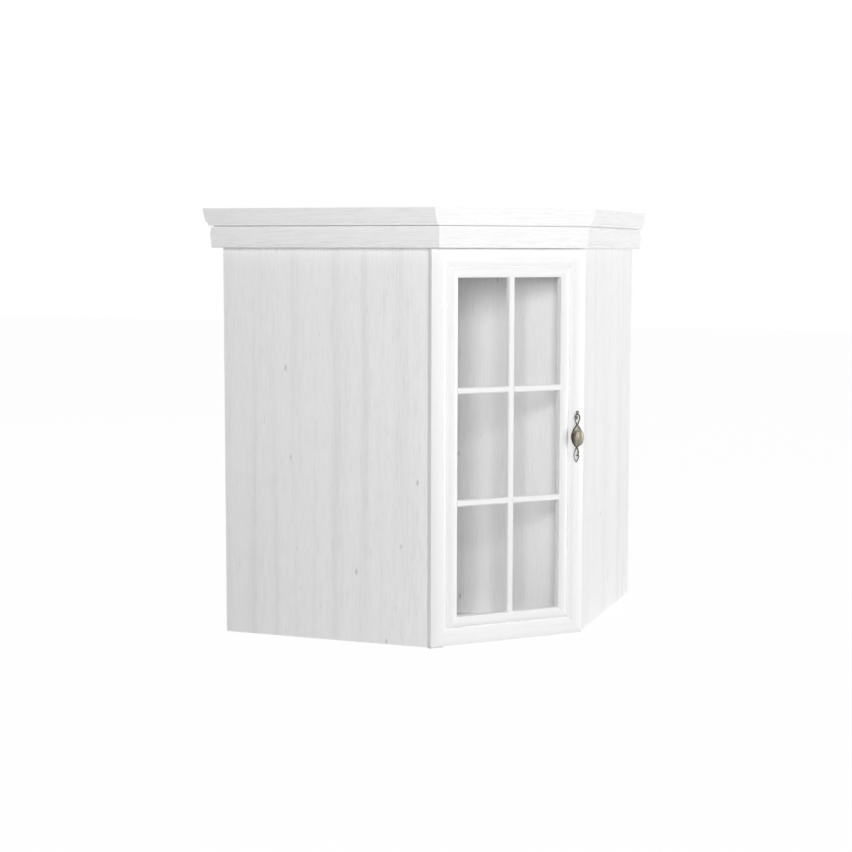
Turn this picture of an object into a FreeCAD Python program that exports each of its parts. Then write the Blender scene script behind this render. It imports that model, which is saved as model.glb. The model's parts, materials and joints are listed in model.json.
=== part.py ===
"""Corner display cabinet: a wall-hung pentagon carcass with a glazed door across its front corner.

Millimetres, +Z up. The origin is the rear room corner of the carcass at its underside. One wall
runs along +X and the other along -Y. The door frame of reference starts at the left front edge:
u runs along the front, n straight out of it.
"""
import FreeCAD
import Part
import Sketcher
import math
import os
import re

SIZES = {
    # carcass
    "wall_length": 600.0,
    "side_depth": 384.0,
    "board": 16.0,
    "back_board": 9.0,
    "open_height": 690.0,
    "band_height": 38.5,
    # cornice
    "band_board": 17.0,
    "packer_depth": 14.0,
    "crown_height": 30.0,
    "crown_reach": 9.3,
    "crown_front_reach": 3.3,
    # door
    "door_width": 301.0,
    "door_reveal": 0.2,
    "door_foot": 3.0,
    "door_head": 0.6,
    "door_thick": 17.0,
    "door_gap": 2.0,
    "frame_width": 49.5,
    "rebate_width": 9.0,
    "bead_thick": 2.0,
    "pane_thick": 3.0,
    "pane_play": 1.0,
    "muntin_width": 10.5,
    "muntin_depth": 11.0,
    "muntin_bevel": 2.0,
    # dowels and screws
    "dowel_radius": 4.0,
    "dowel_side": 10.0,
    "dowel_board": 20.0,
    "screw_radius": 1.6,
    "screw_head": 3.2,
    "screw_length": 26.0,
    "small_screw_length": 11.0,
    # door pivots
    "pivot_along": 5.0,
    "pivot_out": 9.0,
    "pivot_radius": 2.0,
    "pivot_running": 0.05,
    "pivot_reach": 13.0,
    "plate_thick": 2.0,
    "plate_inset": 1.0,
    "plate_width": 24.0,
    "plate_back": 30.0,
    "plate_front": 13.0,
    "bush_radius": 3.0,
    "bush_length": 15.0,
    "washer_radius": 4.5,
    "washer_play": 0.2,
    # catch and bumpers
    "catch_length": 40.0,
    "catch_depth": 14.0,
    "catch_height": 13.0,
    "catch_gap": 0.3,
    "bumper_radius": 4.0,
    # wall fixing
    "batten_height": 50.0,
    "batten_inset": 60.0,
    "batten_top": 40.0,
    "spacer_foot": 40.0,
    "wall_hole_radius": 3.0,
    "wall_hole_spacing": 240.0,
    # handle
    "handle_inset": 17.0,
    "handle_height": 358.5,
    "plate_half_width": 11.0,
    "plate_half_height": 20.5,
    "handle_plate_thick": 1.5,
    "loop_length": 26.0,
    "loop_half_width": 7.0,
    "loop_wire": 2.0,
    "knob_half_height": 16.0,
    "knob_half_width": 9.5,
    "knob_half_depth": 7.5,
    "knob_neck_radius": 4.0,
    "knob_neck_length": 7.5,
    "handle_screw_radius": 2.0,
    "handle_screw_head": 3.5,
    "handle_screw_sink": 3.0,
    # one overrun for every cut
    "overrun": 5.0,
}

doc = FreeCAD.newDocument("corner_display_cabinet")
sheet = doc.addObject("Spreadsheet::Sheet", "Sizes")
for row, (alias, value) in enumerate(SIZES.items(), start=1):
    sheet.set(f"A{row}", alias)
    sheet.set(f"B{row}", str(value))
    sheet.setAlias(f"B{row}", alias)
doc.recompute()

WORD = re.compile(r"[A-Za-z_]+")
ROOT_TWO = math.sqrt(2.0)
UP = FreeCAD.Vector(0, 0, 1)
ALONG = FreeCAD.Vector(1, 1, 0).normalize()
OUTWARD = FreeCAD.Vector(1, -1, 0).normalize()
NODES = {}


def size(alias):
    """Driving value of one cell."""
    return float(sheet.get(alias))


def cells(text):
    """Expression text with each alias pointed at its cell."""
    return WORD.sub(lambda m: "Sizes." + m.group(0) if m.group(0) in SIZES else m.group(0), text)


def bind(item, prop, text):
    item.setExpression(prop, cells(text))


def keep(item, label):
    """Mark a document object as a finished piece under its node name."""
    item.Label = label
    NODES[label] = item
    return item


def wall_place(item, x, y, z, turn=None):
    """Put an object at a place in the wall frame."""
    item.Placement = FreeCAD.Placement(FreeCAD.Vector(), turn or FreeCAD.Rotation())
    for axis, text in zip("xyz", (x, y, z)):
        bind(item, "Placement.Base." + axis, text)
    return item


DOOR_TURN = FreeCAD.Rotation(UP, 45)
OUT_TURN = FreeCAD.Rotation(UP, OUTWARD)
X_TURN = FreeCAD.Rotation(UP, FreeCAD.Vector(1, 0, 0))
Y_TURN = FreeCAD.Rotation(UP, FreeCAD.Vector(0, 1, 0))
MINUS_Y_TURN = FreeCAD.Rotation(UP, FreeCAD.Vector(0, -1, 0))


def door_place(item, u, n, z, turn=DOOR_TURN):
    """Put an object at a place in the door frame: u along the front, n out of it."""
    x = f"side_depth + (({u}) + ({n})) * sqrt(0.5)"
    y = f"-wall_length + (({u}) - ({n})) * sqrt(0.5)"
    return wall_place(item, x, y, z, turn)


def box(name, length, width, height):
    item = doc.addObject("Part::Box", name)
    for prop, text in zip(("Length", "Width", "Height"), (length, width, height)):
        bind(item, prop, text)
    return item


def rod(name, radius, height):
    item = doc.addObject("Part::Cylinder", name)
    bind(item, "Radius", radius)
    bind(item, "Height", height)
    return item


def compound(name, items):
    item = doc.addObject("Part::Compound", name)
    item.Links = items
    return item


def fuse(name, items):
    item = doc.addObject("Part::MultiFuse", name)
    item.Shapes = items
    return item


def cut(name, base, tools):
    item = doc.addObject("Part::Cut", name)
    item.Base = base
    item.Tool = tools[0] if len(tools) == 1 else fuse(name + "_tools", tools)
    return item


def padded(name, corners, height):
    """Body with one polygon sketch, each corner bound to its cells, padded upwards."""
    body = doc.addObject("PartDesign::Body", name)
    sketch = body.newObject("Sketcher::SketchObject", name + "_outline")
    plane = [item for item in body.Origin.OriginFeatures if item.Role == "XY_Plane"][0]
    sketch.AttachmentSupport = [(plane, "")]
    sketch.MapMode = "FlatFace"
    places = []
    for corner in corners:
        places.append([sheet.evalExpression(cells(text)) for text in corner])
    spots = [FreeCAD.Vector(float(x), float(y), 0) for x, y in places]
    for index, spot in enumerate(spots):
        sketch.addGeometry(Part.LineSegment(spot, spots[(index + 1) % len(spots)]), False)
    for index in range(len(spots)):
        following = (index + 1) % len(spots)
        sketch.addConstraint(Sketcher.Constraint("Coincident", index, 2, following, 1))
    for index, corner in enumerate(corners):
        for kind, text, value in zip(("DistanceX", "DistanceY"), corner, spots[index]):
            number = sketch.addConstraint(Sketcher.Constraint(kind, -1, 1, index, 1, value))
            bind(sketch, f"Constraints[{number}]", text)
    pad = body.newObject("PartDesign::Pad", name + "_pad")
    pad.Profile = sketch
    bind(pad, "Length", height)
    return body


def screw(name, length):
    """Countersunk wood screw, head face at the origin, pointing along +Z."""
    head = doc.addObject("Part::Cone", name + "_head")
    bind(head, "Radius1", "screw_head")
    bind(head, "Radius2", "screw_radius")
    bind(head, "Height", "screw_head - screw_radius")
    shank = rod(name + "_shank", "screw_radius", length)
    return fuse(name, [head, shank])


# dowels between the side panels and the two boards
dowels_left = []
dowels_right = []
DOWEL_SHARES = (0.2, 0.75)
for level, height in (("bottom", "board / 2"), ("top", "open_height - board / 2")):
    for number, share in enumerate(DOWEL_SHARES, start=1):
        reach = f"side_depth * {share}"
        length = "dowel_side + dowel_board"
        peg = rod(f"dowel_left_{level}_{number}", "dowel_radius", length)
        wall_place(peg, reach, "-wall_length + board - dowel_side", height, Y_TURN)
        dowels_left.append(peg)
        peg = rod(f"dowel_right_{level}_{number}", "dowel_radius", length)
        wall_place(peg, "wall_length - board - dowel_board", "-" + reach, height, X_TURN)
        dowels_right.append(peg)

# dowels between the two boards and the inner back that stands on them
INNER_BACK_FACE = "(-side_depth + board)"
INNER_BACK_DOWEL_SHARES = (0.1, 0.5, 0.9)
dowels_inner = {"bottom": [], "top": []}
INNER_BACK_DOWEL_FOOT = {"bottom": "board - dowel_side", "top": "open_height - board - dowel_board"}
for level, height in INNER_BACK_DOWEL_FOOT.items():
    for number, share in enumerate(INNER_BACK_DOWEL_SHARES, start=1):
        peg = rod(f"dowel_inner_{level}_{number}", "dowel_radius", "dowel_side + dowel_board")
        wall_place(peg, f"wall_length * {share}", f"{INNER_BACK_FACE} + board / 2", height)
        dowels_inner[level].append(peg)
all_dowels = dowels_left + dowels_right + dowels_inner["bottom"] + dowels_inner["top"]
keep(compound("dowels", all_dowels), "carcass_dowels")

# screws through the back panels into the rear edges of the two boards
BACK_SCREW_SHARES = (0.25, 0.55, 0.85)
back_screws = {"left": [], "right": []}
for level, height in (("bottom", "board / 2"), ("top", "open_height - board / 2")):
    for number, share in enumerate(BACK_SCREW_SHARES, start=1):
        item = screw(f"back_screw_left_{level}_{number}", "screw_length")
        wall_place(item, "0", f"-wall_length * {share}", height, X_TURN)
        back_screws["left"].append(item)
        item = screw(f"back_screw_right_{level}_{number}", "screw_length")
        wall_place(item, f"wall_length * {share}", "0", height, MINUS_Y_TURN)
        back_screws["right"].append(item)
keep(compound("back_screws", back_screws["left"] + back_screws["right"]), "back_panel_screws")

# battens and spacers that carry the cabinet clear of the walls by the cornice's overhang
WALL_GAP = "(band_board + crown_reach)"
STRIP_LENGTH = "wall_length - 2 * batten_inset"
BATTEN_FOOT = "open_height - batten_top - batten_height"
STRIP_FOOT = {"hanging_batten": BATTEN_FOOT, "wall_spacer": "spacer_foot"}
STRIP_SCREW_SHARES = (0.1, 0.9)
strip_screws = {"left": [], "right": []}
wall_holes = {"left": [], "right": []}
for number, sign in enumerate(("-", "+"), start=1):
    height = f"{BATTEN_FOOT} + batten_height / 2"
    middle = f"wall_length / 2 {sign} wall_hole_spacing / 2"
    length = f"{WALL_GAP} + back_board + 2 * overrun"
    hole = rod(f"wall_hole_left_{number}", "wall_hole_radius", length)
    wall_place(hole, f"-{WALL_GAP} - overrun", f"-({middle})", height, X_TURN)
    wall_holes["left"].append(hole)
    hole = rod(f"wall_hole_right_{number}", "wall_hole_radius", length)
    wall_place(hole, middle, "-back_board - overrun", height, Y_TURN)
    wall_holes["right"].append(hole)
for strip, foot in STRIP_FOOT.items():
    own = {"left": [], "right": []}
    for number, share in enumerate(STRIP_SCREW_SHARES, start=1):
        along = f"(batten_inset + ({STRIP_LENGTH}) * {share})"
        height = f"{foot} + batten_height / 2"
        length = f"{WALL_GAP} + back_board / 2"
        item = screw(f"{strip}_screw_left_{number}", length)
        wall_place(item, f"-{WALL_GAP}", f"-{along}", height, X_TURN)
        own["left"].append(item)
        item = screw(f"{strip}_screw_right_{number}", length)
        wall_place(item, along, WALL_GAP, height, MINUS_Y_TURN)
        own["right"].append(item)
    raw = box(f"{strip}_left_raw", WALL_GAP, STRIP_LENGTH, "batten_height")
    wall_place(raw, f"-{WALL_GAP}", "-wall_length + batten_inset", foot)
    holes = wall_holes["left"] if strip == "hanging_batten" else []
    keep(cut(f"{strip}_left_cut", raw, own["left"] + holes), f"{strip}_left")
    raw = box(f"{strip}_right_raw", STRIP_LENGTH, WALL_GAP, "batten_height")
    wall_place(raw, "batten_inset", "0", foot)
    holes = wall_holes["right"] if strip == "hanging_batten" else []
    keep(cut(f"{strip}_right_cut", raw, own["right"] + holes), f"{strip}_right")
    strip_screws["left"] += own["left"]
    strip_screws["right"] += own["right"]
keep(compound("strip_screws", strip_screws["left"] + strip_screws["right"]), "batten_screws")

# pivot plates, pins, washer and bushes on the door's turning axis
DOOR_TOP = "(open_height - door_head)"
plate_screws = {"bottom": [], "top": []}
PLATE_FOOT = {"bottom": "0", "top": "open_height"}
PLATE_BACK = {"bottom": "plate_back", "top": "board"}
PLATE_FRONT = {"bottom": "plate_front", "top": "packer_depth"}
NEAR_SHARE = 0.5
FAR_SHARE = 0.8
DEEP_SHARE = 0.8
SHALLOW_SHARE = 0.3
SCREW_PLACES = {
    "bottom": ((NEAR_SHARE, f"-plate_back * {DEEP_SHARE}"), (FAR_SHARE, f"-plate_back * {SHALLOW_SHARE}")),
    "top": ((FAR_SHARE, "-board / 2"), (FAR_SHARE, "packer_depth / 2")),
}
plates = {}
pivot_pins = {}
for end in ("bottom", "top"):
    raw = box(f"plate_{end}_raw", "plate_width", f"{PLATE_BACK[end]} + {PLATE_FRONT[end]}", "plate_thick")
    door_place(raw, "plate_inset", PLATE_FRONT[end], PLATE_FOOT[end])
    plates[end] = raw
    for number, (share, out) in enumerate(SCREW_PLACES[end], start=1):
        item = screw(f"plate_{end}_screw_{number}", "small_screw_length")
        door_place(item, f"plate_width * {share}", out, PLATE_FOOT[end], FreeCAD.Rotation())
        plate_screws[end].append(item)
pin = rod("pivot_pin_bottom_rod", "pivot_radius", "door_foot + pivot_reach")
pivot_pins["bottom"] = door_place(pin, "pivot_along", "pivot_out", "0")
pin = rod("pivot_pin_top_rod", "pivot_radius", "plate_thick + door_head + pivot_reach")
door_place(pin, "pivot_along", "pivot_out", "open_height - door_head - pivot_reach")
pivot_pins["top"] = pin
for end in ("bottom", "top"):
    keep(cut(f"plate_{end}", plates[end], [pivot_pins[end]] + plate_screws[end]), f"pivot_plate_{end}")
    keep(pivot_pins[end], f"pivot_pin_{end}")
keep(compound("plate_screws", plate_screws["bottom"] + plate_screws["top"]), "pivot_plate_screws")

ring = rod("washer_ring", "washer_radius", "door_foot - plate_thick - washer_play")
door_place(ring, "pivot_along", "pivot_out", "plate_thick")
hole = rod("washer_hole", "pivot_radius + pivot_running", "door_foot + overrun")
door_place(hole, "pivot_along", "pivot_out", "0")
keep(cut("washer", ring, [hole]), "pivot_washer")

bushes = {}
BUSH_FOOT = {"bottom": "door_foot", "top": f"{DOOR_TOP} - bush_length"}
for end, foot in BUSH_FOOT.items():
    outer = rod(f"bush_{end}_outer", "bush_radius", "bush_length")
    door_place(outer, "pivot_along", "pivot_out", foot)
    bore = rod(f"bush_{end}_bore", "pivot_radius + pivot_running", "bush_length + 2 * overrun")
    door_place(bore, "pivot_along", "pivot_out", f"{foot} - overrun")
    bushes[end] = outer
    keep(cut(f"bush_{end}", outer, [bore]), f"pivot_bush_{end}")

# catch below the top board, strike on the door, bumpers on the two board edges
CATCH_SCREW_SHARES = (0.2, 0.8)
CATCH_START_SHARE = 0.62
CATCH_START = f"(door_reveal + door_width * {CATCH_START_SHARE})"
CATCH_FOOT = "open_height - board - catch_height"
catch_screws = []
for number, share in enumerate(CATCH_SCREW_SHARES, start=1):
    item = screw(f"catch_screw_{number}", "catch_height + board / 2")
    along = f"{CATCH_START} + catch_length * {share}"
    door_place(item, along, "-catch_depth / 2", CATCH_FOOT, FreeCAD.Rotation())
    catch_screws.append(item)
raw = box("catch_raw", "catch_length", "catch_depth", "catch_height")
door_place(raw, CATCH_START, "0", CATCH_FOOT)
keep(cut("catch", raw, catch_screws), "magnet_catch")
keep(compound("catch_screw_pair", catch_screws), "catch_screws")

STRIKE_LENGTH_SHARE = 0.7
STRIKE_HEIGHT_SHARE = 0.8
STRIKE_LENGTH = f"catch_length * {STRIKE_LENGTH_SHARE}"
STRIKE_HEIGHT = f"catch_height * {STRIKE_HEIGHT_SHARE}"
strike_screw = screw("strike_screw_one", "small_screw_length")
STRIKE_MIDDLE = f"{CATCH_START} + catch_length / 2"
STRIKE_LEVEL = f"{CATCH_FOOT} + catch_height / 2"
door_place(strike_screw, STRIKE_MIDDLE, "catch_gap", STRIKE_LEVEL, OUT_TURN)
raw = box("strike_raw", STRIKE_LENGTH, "door_gap - catch_gap", STRIKE_HEIGHT)
strike_start = f"{STRIKE_MIDDLE} - {STRIKE_LENGTH} / 2"
door_place(raw, strike_start, "door_gap", f"{STRIKE_LEVEL} - {STRIKE_HEIGHT} / 2")
keep(cut("strike", raw, [strike_screw]), "catch_strike")
keep(strike_screw, "strike_screw")

bumpers = []
BUMPER_LEVELS = {"bottom": "door_foot + bumper_radius + catch_gap", "top": "open_height - board / 2"}
for name, height in BUMPER_LEVELS.items():
    pad = rod(f"bumper_{name}", "bumper_radius", "door_gap - catch_gap")
    door_place(pad, "door_reveal + door_width / 2", "0", height, OUT_TURN)
    bumpers.append(pad)
keep(compound("bumper_pair", bumpers), "door_bumpers")

# side panels, bevelled at the front so that the door closes on a flat face
SIDE_HEIGHT = "open_height + band_height"
side = padded("side_left_board", (
    ("0", "-wall_length"),
    ("side_depth", "-wall_length"),
    ("side_depth + board", "-wall_length + board"),
    ("0", "-wall_length + board")), SIDE_HEIGHT)
keep(cut("side_left", side, dowels_left + [plates["bottom"], plates["top"]]), "side_panel_left")
side = padded("side_right_board", (
    ("wall_length", "0"),
    ("wall_length", "-side_depth"),
    ("wall_length - board", "-side_depth - board"),
    ("wall_length - board", "0")), SIDE_HEIGHT)
keep(cut("side_right", side, dowels_right), "side_panel_right")

# back panels along the two walls
raw = box("back_left_raw", "back_board", "wall_length - board", SIDE_HEIGHT)
wall_place(raw, "0", "-wall_length + board", "0")
tools = back_screws["left"] + strip_screws["left"] + wall_holes["left"]
keep(cut("back_left", raw, tools), "back_panel_left")
raw = box("back_right_raw", "wall_length - board - back_board", "back_board", SIDE_HEIGHT)
wall_place(raw, "back_board", "-back_board", "0")
tools = back_screws["right"] + strip_screws["right"] + wall_holes["right"]
keep(cut("back_right", raw, tools), "back_panel_right")

# bottom and top boards between the panels
BOARD_CORNERS = (
    ("back_board", "-back_board"),
    ("back_board", "-wall_length + board"),
    ("side_depth + board", "-wall_length + board"),
    ("wall_length - board", "-side_depth - board"),
    ("wall_length - board", "-back_board"))
all_back_screws = back_screws["left"] + back_screws["right"]
plain = padded("bottom_plain", BOARD_CORNERS, "board")
tools = all_dowels + all_back_screws + [plates["bottom"]] + plate_screws["bottom"]
keep(cut("bottom", plain, tools), "bottom_board")
plain = padded("top_plain", BOARD_CORNERS, "board")
wall_place(plain, "0", "0", "open_height - board")
keep(cut("top", plain, all_dowels + all_back_screws + catch_screws), "top_board")

# inner back that closes the display space, from the left back panel to the right side panel
raw = box("inner_back_raw", "wall_length - board - back_board", "board", "open_height - 2 * board")
wall_place(raw, "back_board", INNER_BACK_FACE, "board")
keep(cut("inner_back_board", raw, dowels_inner["bottom"] + dowels_inner["top"]), "inner_back")

# header rail on the top board and packer in front of it, behind the cornice band
RAIL_STEP = "board * sqrt(2)"
PACKER_STEP = "packer_depth * sqrt(2)"
rail = padded("rail_plain", (
    ("side_depth + board", "-wall_length + board"),
    ("wall_length - board", "-side_depth - board"),
    ("wall_length - board", f"-side_depth - board + {RAIL_STEP}"),
    (f"side_depth + board - {RAIL_STEP}", "-wall_length + board")), "band_height")
wall_place(rail, "0", "0", "open_height")
keep(cut("rail", rail, [plates["top"]] + plate_screws["top"]), "header_rail")
packer = padded("packer_plain", (
    ("side_depth", "-wall_length"),
    (f"side_depth + {PACKER_STEP}", "-wall_length"),
    ("wall_length", f"-side_depth - {PACKER_STEP}"),
    ("wall_length", "-side_depth")), "band_height")
wall_place(packer, "0", "0", "open_height")
keep(cut("packer", packer, [plates["top"]] + plate_screws["top"]), "cornice_packer")


def section(start, steps, place):
    """Face closed through lines, three-point arcs and curves, given in the section's own plane."""
    edges = []
    here = place(start)
    closing = [] if steps[-1][-1] == start else [[start]]
    for step in steps + closing:
        there = [place(spot) for spot in step]
        if len(step) == 1:
            edges.append(Part.LineSegment(here, there[0]).toShape())
        elif len(step) == 2:
            edges.append(Part.Arc(here, there[0], there[1]).toShape())
        else:
            curve = Part.BezierCurve()
            curve.setPoles([here] + there)
            edges.append(curve.toShape())
        here = there[-1]
    return Part.Face(Part.Wire(edges))


def moulded(name, label, profile, run, outline, rise, tools):
    """Length of moulding cut to the mitres that its outline gives."""
    blank = profile.extrude(run)
    trimmed = Part.Face(Part.makePolygon(outline + outline[:1])).extrude(rise)
    shape = blank.common(trimmed)
    for tool in tools:
        shape = shape.cut(tool.Shape)
    item = doc.addObject("Part::Feature", name)
    item.Shape = shape.Solids[0]
    return keep(item, label)


doc.recompute()

# cornice ring: waved band with a bottom bead, and crown above it
WALL = size("wall_length")
DEPTH = size("side_depth")
BOARD = size("board")
BAND = size("band_board")
BAND_HEIGHT = size("band_height")
BAND_FRONT = size("packer_depth") + BAND
BAND_FOOT = size("open_height")
CROWN_HEIGHT = size("crown_height")
OVERRUN = size("overrun")
CORNICE_LEVELS = {"carcass_top": (-BOARD, -BOARD), "carcass": (0.0, 0.0), "band": (BAND, BAND_FRONT)}


def ring_corner(which, side_out, front_out):
    """Plan corner of the ring where its faces stand out by the two given amounts."""
    front = DEPTH + front_out * ROOT_TWO - side_out
    return {
        "rear_left": (-side_out, -WALL - side_out),
        "front_left": (front, -WALL - side_out),
        "front_right": (WALL + side_out, -front),
        "rear_right": (WALL + side_out, min(side_out, 0.0)),
        "wall_right": (WALL + min(side_out, 0.0), side_out),
        "room": (-side_out, side_out),
    }[which]


BAND_STEP_SHARES = (
    ((0.18, 0.0),),
    ((0.09, 0.03), (0.1, 0.1)),
    ((0.14, 0.12),),
    ((0.1, 0.15),),
    ((0.05, 0.21), (0.09, 0.27)),
    ((0.0, 0.56), (0.07, 0.84)),
    ((0.11, 0.87),),
    ((0.07, 0.9),),
    ((0.06, 0.955),),
    ((0.32, 0.96),),
    ((0.32, 1.0),),
)
CROWN_STEP_SHARES = (
    ((0.28, 0.0),),
    ((0.28, 0.1),),
    ((0.75, 0.25), (0.85, 0.6), (1.0, 1.0)),
)


def band_steps(inner, outer):
    """Section of the band between two distances out, from its underside up."""
    steps = []
    for step in BAND_STEP_SHARES:
        steps.append([(outer - BAND * inset, BAND_HEIGHT * rise) for inset, rise in step])
    return (inner, 0.0), steps + [[(inner, BAND_HEIGHT)]]


def crown_steps(inner, rest, reach):
    """Section of the crown, growing from the band's face by its reach."""
    steps = []
    for step in CROWN_STEP_SHARES:
        steps.append([(rest + reach * out, CROWN_HEIGHT * rise) for out, rise in step])
    return (inner, 0.0), steps + [[(inner, CROWN_HEIGHT)]]


RING_EDGES = {
    "left": ("rear_left", "front_left"),
    "front": ("front_left", "front_right"),
    "right": ("front_right", "rear_right"),
    "back_right": ("wall_right", "room"),
    "back_left": ("room", "rear_left"),
}
for edge, (first, second) in RING_EDGES.items():
    start = FreeCAD.Vector(*ring_corner(first, 0.0, 0.0), 0)
    finish = FreeCAD.Vector(*ring_corner(second, 0.0, 0.0), 0)
    way = (finish - start).normalize()
    away = FreeCAD.Vector(way.y, -way.x, 0)
    spare = 2 * BAND_FRONT
    run = finish - start + way * (2 * spare)
    front = edge == "front"
    reach = size("crown_front_reach") if front else size("crown_reach")
    rest = BAND_FRONT if front else BAND
    parts = {
        "band": (
            band_steps(rest - BAND, rest),
            [(0.0, BAND_FRONT - BAND), CORNICE_LEVELS["band"]],
            BAND_FOOT, BAND_HEIGHT),
        "crown": (
            crown_steps(-BOARD, rest, reach),
            [CORNICE_LEVELS["carcass_top"], CORNICE_LEVELS["carcass"], CORNICE_LEVELS["band"],
             (BAND + size("crown_reach"), BAND_FRONT + size("crown_front_reach"))],
            BAND_FOOT + BAND_HEIGHT, CROWN_HEIGHT),
    }
    for kind, ((origin, steps), levels, foot, rise) in parts.items():
        base = start - way * spare + UP * foot
        profile = section(origin, steps, lambda spot: base + away * spot[0] + UP * spot[1])
        outline = []
        for side_out, front_out in levels:
            outline.append(FreeCAD.Vector(*ring_corner(first, side_out, front_out), foot))
        for side_out, front_out in reversed(levels):
            outline.append(FreeCAD.Vector(*ring_corner(second, side_out, front_out), foot))
        tools = [plates["top"]] + plate_screws["top"] if (kind, edge) == ("band", "left") else []
        moulded(f"{kind}_{edge}", f"cornice_{kind}_{edge}", profile, run, outline, UP * rise, tools)

# door frame: one moulding, mitred at its four corners
FRAME = size("frame_width")
THICK = size("door_thick")
REBATE = size("rebate_width")
PANE_FACE = size("bead_thick") + size("pane_thick")
FRAME_STEP_SHARES = (
    ((0.0, 0.78),),
    ((0.12, 0.93), (0.3, 1.0)),
    ((0.42, 1.0),),
    ((0.53, 0.9), (0.6, 0.72)),
    ((0.61, 0.64),),
    ((0.63, 0.72),),
    ((0.7, 0.93), (0.81, 1.0)),
    ((0.93, 0.95), (1.0, 0.82)),
)
FRAME_STEPS = []
for step in FRAME_STEP_SHARES:
    FRAME_STEPS.append([(FRAME * across, THICK * out) for across, out in step])
FRAME_STEPS += [
    [(FRAME, PANE_FACE)],
    [(FRAME - REBATE, PANE_FACE)],
    [(FRAME - REBATE, 0.0)],
]
DOOR_LEFT = size("door_reveal")
DOOR_RIGHT = DOOR_LEFT + size("door_width")
DOOR_FOOT = size("door_foot")
DOOR_HEAD = size("open_height") - size("door_head")
DOOR_BACK = size("door_gap")
FRONT_EDGE = FreeCAD.Vector(DEPTH, -WALL, 0)


def on_door(u, n, z):
    return FRONT_EDGE + ALONG * u + OUTWARD * n + UP * z


handle_u = DOOR_RIGHT - size("handle_inset")
handle_z = size("handle_height")
HANDLE_U = "(door_reveal + door_width - handle_inset)"
HANDLE_GRIP = "door_thick + handle_plate_thick + knob_neck_length"
shank = rod("handle_screw_shank", "handle_screw_radius", f"{HANDLE_GRIP} - handle_screw_sink")
door_place(shank, HANDLE_U, "door_gap + handle_screw_sink", "handle_height", OUT_TURN)
head = rod("handle_screw_cap", "handle_screw_head", "handle_screw_sink - catch_gap")
door_place(head, HANDLE_U, "door_gap + catch_gap", "handle_height", OUT_TURN)
handle_screw = fuse("handle_screw_solid", [shank, head])
sink = rod("handle_screw_recess", "handle_screw_head", "handle_screw_sink + overrun")
door_place(sink, HANDLE_U, "door_gap - overrun", "handle_height", OUT_TURN)
doc.recompute()
keep(handle_screw, "handle_screw")

CORNERS = {
    "foot_left": (DOOR_LEFT, DOOR_FOOT, 1, 1),
    "foot_right": (DOOR_RIGHT, DOOR_FOOT, -1, 1),
    "head_right": (DOOR_RIGHT, DOOR_HEAD, -1, -1),
    "head_left": (DOOR_LEFT, DOOR_HEAD, 1, -1),
}
MEMBERS = {
    "door_rail_bottom": ("foot_left", "foot_right", ALONG, UP, [bushes["bottom"]]),
    "door_stile_right": ("foot_right", "head_right", UP, ALONG * -1, [handle_screw, sink]),
    "door_rail_top": ("head_right", "head_left", ALONG * -1, UP * -1, [bushes["top"], strike_screw]),
    "door_stile_left": ("head_left", "foot_left", UP * -1, ALONG, [bushes["bottom"], bushes["top"]]),
}
for label, (first, second, way, across, tools) in MEMBERS.items():
    first_u, first_z, first_in, first_up = CORNERS[first]
    second_u, second_z, second_in, second_up = CORNERS[second]
    base = on_door(first_u, DOOR_BACK, first_z)
    finish = on_door(second_u, DOOR_BACK, second_z)
    profile = section((0.0, 0.0), FRAME_STEPS, lambda spot: base + across * spot[0] + OUTWARD * spot[1])
    outline = [
        base,
        finish,
        on_door(second_u + second_in * FRAME, DOOR_BACK, second_z + second_up * FRAME),
        on_door(first_u + first_in * FRAME, DOOR_BACK, first_z + first_up * FRAME),
    ]
    moulded(label + "_moulding", label, profile, finish - base, outline, OUTWARD * THICK, tools)

# pane in its rebate, with a glazing bead along each edge
PANE_INSET = "(frame_width - rebate_width + pane_play)"
PANE_LEVEL = "(door_gap + bead_thick + pane_thick)"
PANE_RISE = f"{DOOR_TOP} - door_foot - 2 * {PANE_INSET}"
pane = box("pane", f"door_width - 2 * {PANE_INSET}", "pane_thick", PANE_RISE)
door_place(pane, f"door_reveal + {PANE_INSET}", PANE_LEVEL, f"door_foot + {PANE_INSET}")
keep(pane, "door_glass")
BEAD_INSET = "(frame_width - rebate_width)"
BEAD_SPAN = "(door_width - 2 * frame_width)"
BEAD_RISE = f"({DOOR_TOP} - door_foot - 2 * {BEAD_INSET})"
BEAD_FOOT = f"door_foot + {BEAD_INSET}"
BEADS = {
    "left": (f"door_reveal + {BEAD_INSET}", BEAD_FOOT, "rebate_width", BEAD_RISE),
    "right": ("door_reveal + door_width - frame_width", BEAD_FOOT, "rebate_width", BEAD_RISE),
    "bottom": ("door_reveal + frame_width", BEAD_FOOT, BEAD_SPAN, "rebate_width"),
    "top": ("door_reveal + frame_width", f"{DOOR_TOP} - frame_width", BEAD_SPAN, "rebate_width"),
}
for edge, (along, foot, length, rise) in BEADS.items():
    strip = box(f"bead_{edge}", length, "bead_thick", rise)
    door_place(strip, along, "door_gap + bead_thick", foot)
    keep(strip, f"glazing_bead_{edge}")

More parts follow.
